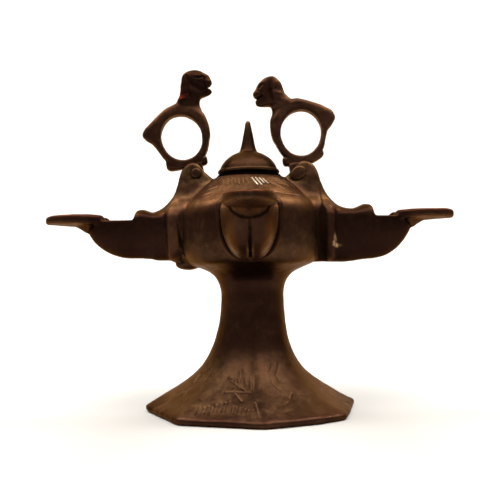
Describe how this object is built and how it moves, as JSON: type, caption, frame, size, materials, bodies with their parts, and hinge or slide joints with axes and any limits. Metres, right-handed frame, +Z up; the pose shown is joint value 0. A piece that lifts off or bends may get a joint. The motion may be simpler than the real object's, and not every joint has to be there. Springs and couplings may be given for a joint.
{
  "type": "oil lamp",
  "caption": "Cast bronze oil lamp: round reservoir with open wick nozzles on an octagonal trumpet foot, spired lift-off lid, and ring-bodied animals that rock on hinge pins beside it.",
  "frame": {"origin": "centre of the foot's underside, on the surface that the lamp stands on", "axes": "+Z up along the lamp's axis; the nozzles point along +X, +Y, -X and -Y; -Y is the front, and the animals face each other along X"},
  "size_m": [0.2246, 0.2246, 0.1865],
  "materials": {
    "body_bronze": "dark brown patina, worn to golden brown on shoulders and edges",
    "lid_bronze": "dark brown patina, semi-gloss",
    "animal_bronze": "brown patina, worn lighter on the edges",
    "pin_bronze": "hammered, rubbed brown"
  },
  "bodies": {
    "lamp": {"foot": "body_bronze", "reservoir": "body_bronze", "right_nozzle": "body_bronze", "back_nozzle": "body_bronze", "left_nozzle": "body_bronze", "front_nozzle": "body_bronze", "lid": "lid_bronze", "left_hinge_pin": "pin_bronze", "right_hinge_pin": "pin_bronze"},
    "left_animal": {"left_animal": "animal_bronze"},
    "right_animal": {"right_animal": "animal_bronze"}
  },
  "joints": [
    {"name": "left_animal_hinge", "type": "hinge", "parent": "lamp", "child": "left_animal", "pos_m": [-0.0284, 0, 0.1287], "axis": [0, 1, 0], "range_deg": [0, 16]},
    {"name": "right_animal_hinge", "type": "hinge", "parent": "lamp", "child": "right_animal", "pos_m": [0.0268, 0, 0.1279], "axis": [0, 1, 0], "range_deg": [0, 16]}
  ]
}
